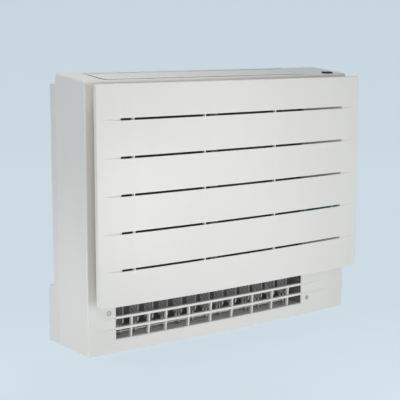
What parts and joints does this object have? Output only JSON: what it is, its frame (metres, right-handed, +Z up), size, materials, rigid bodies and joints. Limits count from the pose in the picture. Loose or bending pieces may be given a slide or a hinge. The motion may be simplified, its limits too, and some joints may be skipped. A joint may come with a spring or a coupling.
{
  "type": "floor console air conditioner",
  "caption": "White floor console air conditioner with a bowed front panel that tilts on its lower edge, a flap in the sloping top and a louvered outlet below.",
  "frame": {"origin": "on the floor under the middle of the unit", "axes": "+X to the right seen from the front, +Y to the wall behind, +Z up"},
  "size_m": [0.75, 0.225, 0.6],
  "materials": {
    "white_shell": "satin moulded",
    "white_back": "satin moulded",
    "duct_plastic": "fine moulded grain",
    "louver_plastic": "satin moulded",
    "fan_plastic": "fine moulded grain",
    "filter_mesh": "woven net in a moulded frame",
    "dark_window": "polished",
    "accent_plastic": "satin",
    "switch_plastic": "satin moulded",
    "screw_steel": "zinc plated",
    "fin_aluminium": "rolled",
    "copper_tube": "drawn copper",
    "union_brass": "turned",
    "zinc_sheet": "galvanised",
    "motor_paint": "satin",
    "board_laminate": "lacquered",
    "grommet_rubber": "moulded"
  },
  "bodies": {
    "cabinet": {"air_filter_left": "filter_mesh", "air_filter_right": "filter_mesh", "air_guides": "duct_plastic", "bell_mouth": "duct_plastic", "cable_grommet": "grommet_rubber", "casing_screws": "screw_steel", "control_board": "board_laminate", "control_box": "zinc_sheet", "control_cover": "zinc_sheet", "damper_motor": "motor_paint", "display_window": "dark_window", "drain_pan": "duct_plastic", "drain_spout": "duct_plastic", "exchanger_fins": "fin_aluminium", "exchanger_plates": "zinc_sheet", "exchanger_tubes": "copper_tube", "fan_motor": "motor_paint", "flap_motor": "motor_paint", "flare_unions": "union_brass", "front_casing": "white_shell", "lower_duct": "duct_plastic", "motor_bearings": "screw_steel", "motor_bracket": "zinc_sheet", "motor_screws": "screw_steel", "outlet_grille": "white_shell", "panel_hinge_pins": "screw_steel", "rear_casing": "white_back", "refrigerant_pipes": "copper_tube", "selector_plate": "accent_plastic", "terminal_block": "switch_plastic", "upper_duct": "duct_plastic", "wall_plate": "zinc_sheet"},
    "panel": {"front_panel": "white_shell"},
    "stopper_left": {"panel_stopper_left": "white_shell"},
    "stopper_right": {"panel_stopper_right": "white_shell"},
    "fan": {"turbo_fan": "fan_plastic", "fan_shaft": "screw_steel", "fan_nut": "screw_steel"},
    "flap": {"top_flap": "white_shell"},
    "damper": {"lower_damper": "duct_plastic"},
    "link": {"louver_link": "louver_plastic"},
    "button": {"power_button": "dark_window"},
    "slider": {"selector_switch": "switch_plastic"},
    "blade_01": {"louver_01": "louver_plastic"},
    "blade_02": {"louver_02": "louver_plastic"},
    "blade_03": {"louver_03": "louver_plastic"},
    "blade_04": {"louver_04": "louver_plastic"},
    "blade_05": {"louver_05": "louver_plastic"},
    "blade_06": {"louver_06": "louver_plastic"},
    "blade_07": {"louver_07": "louver_plastic"},
    "blade_08": {"louver_08": "louver_plastic"},
    "blade_09": {"louver_09": "louver_plastic"},
    "blade_10": {"louver_10": "louver_plastic"},
    "blade_11": {"louver_11": "louver_plastic"},
    "blade_12": {"louver_12": "louver_plastic"},
    "blade_13": {"louver_13": "louver_plastic"}
  },
  "joints": [
    {"name": "panel_tilt", "type": "hinge", "parent": "cabinet", "child": "panel", "pos_m": [0, -0.0765, 0.124], "axis": [1, 0, 0], "range_deg": [0, 28]},
    {"name": "stopper_left_slide", "type": "slide", "parent": "panel", "child": "stopper_left", "axis": [-1, 0, 0], "range_m": [0, 0.008]},
    {"name": "stopper_right_slide", "type": "slide", "parent": "panel", "child": "stopper_right", "axis": [1, 0, 0], "range_m": [0, 0.008]},
    {"name": "fan_spin", "type": "hinge", "parent": "cabinet", "child": "fan", "pos_m": [-0.04, 0, 0.3265], "axis": [0, 1, 0], "continuous": true},
    {"name": "flap_swing", "type": "hinge", "parent": "cabinet", "child": "flap", "pos_m": [-0.035, 0.03927, 0.59067], "axis": [-1, 0, 0], "range_deg": [0, 75]},
    {"name": "damper_turn", "type": "hinge", "parent": "cabinet", "child": "damper", "pos_m": [-0.04, 0.03675, 0.112], "axis": [1, 0, 0], "range_deg": [0, 85]},
    {"name": "blade_01_swing", "type": "hinge", "parent": "cabinet", "child": "blade_01", "pos_m": [-0.2776, -0.03045, 0.065], "axis": [0, 0, 1], "range_deg": [-25, 25]},
    {"name": "blade_02_swing", "type": "hinge", "parent": "cabinet", "child": "blade_02", "pos_m": [-0.238, -0.03045, 0.065], "axis": [0, 0, 1], "range_deg": [-25, 25]},
    {"name": "blade_03_swing", "type": "hinge", "parent": "cabinet", "child": "blade_03", "pos_m": [-0.1984, -0.03045, 0.065], "axis": [0, 0, 1], "range_deg": [-25, 25]},
    {"name": "blade_04_swing", "type": "hinge", "parent": "cabinet", "child": "blade_04", "pos_m": [-0.1588, -0.03045, 0.065], "axis": [0, 0, 1], "range_deg": [-25, 25]},
    {"name": "blade_05_swing", "type": "hinge", "parent": "cabinet", "child": "blade_05", "pos_m": [-0.1192, -0.03045, 0.065], "axis": [0, 0, 1], "range_deg": [-25, 25]},
    {"name": "blade_06_swing", "type": "hinge", "parent": "cabinet", "child": "blade_06", "pos_m": [-0.0796, -0.03045, 0.065], "axis": [0, 0, 1], "range_deg": [-25, 25]},
    {"name": "blade_07_swing", "type": "hinge", "parent": "cabinet", "child": "blade_07", "pos_m": [-0.04, -0.03045, 0.065], "axis": [0, 0, 1], "range_deg": [-25, 25]},
    {"name": "blade_08_swing", "type": "hinge", "parent": "cabinet", "child": "blade_08", "pos_m": [-0.0004, -0.03045, 0.065], "axis": [0, 0, 1], "range_deg": [-25, 25]},
    {"name": "blade_09_swing", "type": "hinge", "parent": "cabinet", "child": "blade_09", "pos_m": [0.0392, -0.03045, 0.065], "axis": [0, 0, 1], "range_deg": [-25, 25]},
    {"name": "blade_10_swing", "type": "hinge", "parent": "cabinet", "child": "blade_10", "pos_m": [0.0788, -0.03045, 0.065], "axis": [0, 0, 1], "range_deg": [-25, 25]},
    {"name": "blade_11_swing", "type": "hinge", "parent": "cabinet", "child": "blade_11", "pos_m": [0.1184, -0.03045, 0.065], "axis": [0, 0, 1], "range_deg": [-25, 25]},
    {"name": "blade_12_swing", "type": "hinge", "parent": "cabinet", "child": "blade_12", "pos_m": [0.158, -0.03045, 0.065], "axis": [0, 0, 1], "range_deg": [-25, 25]},
    {"name": "blade_13_swing", "type": "hinge", "parent": "cabinet", "child": "blade_13", "pos_m": [0.1976, -0.03045, 0.065], "axis": [0, 0, 1], "range_deg": [-25, 25]},
    {"name": "link_slide", "type": "slide", "parent": "cabinet", "child": "link", "axis": [1, 0, 0], "range_m": [-0.0055, 0.0055]},
    {"name": "button_press", "type": "slide", "parent": "cabinet", "child": "button", "axis": [0, 0, -1], "range_m": [0, 0.002], "stiffness_N_per_m": 400},
    {"name": "selector_slide", "type": "slide", "parent": "cabinet", "child": "slider", "axis": [0, 0, 1], "range_m": [0, 0.008]}
  ],
  "couplings": [
    {"joint": "blade_01_swing", "follows": "blade_07_swing", "ratio": 1},
    {"joint": "blade_02_swing", "follows": "blade_07_swing", "ratio": 1},
    {"joint": "blade_03_swing", "follows": "blade_07_swing", "ratio": 1},
    {"joint": "blade_04_swing", "follows": "blade_07_swing", "ratio": 1},
    {"joint": "blade_05_swing", "follows": "blade_07_swing", "ratio": 1},
    {"joint": "blade_06_swing", "follows": "blade_07_swing", "ratio": 1},
    {"joint": "blade_08_swing", "follows": "blade_07_swing", "ratio": 1},
    {"joint": "blade_09_swing", "follows": "blade_07_swing", "ratio": 1},
    {"joint": "blade_10_swing", "follows": "blade_07_swing", "ratio": 1},
    {"joint": "blade_11_swing", "follows": "blade_07_swing", "ratio": 1},
    {"joint": "blade_12_swing", "follows": "blade_07_swing", "ratio": 1},
    {"joint": "blade_13_swing", "follows": "blade_07_swing", "ratio": 1},
    {"joint": "link_slide", "follows": "blade_07_swing", "m_per_rad": -0.01164}
  ]
}
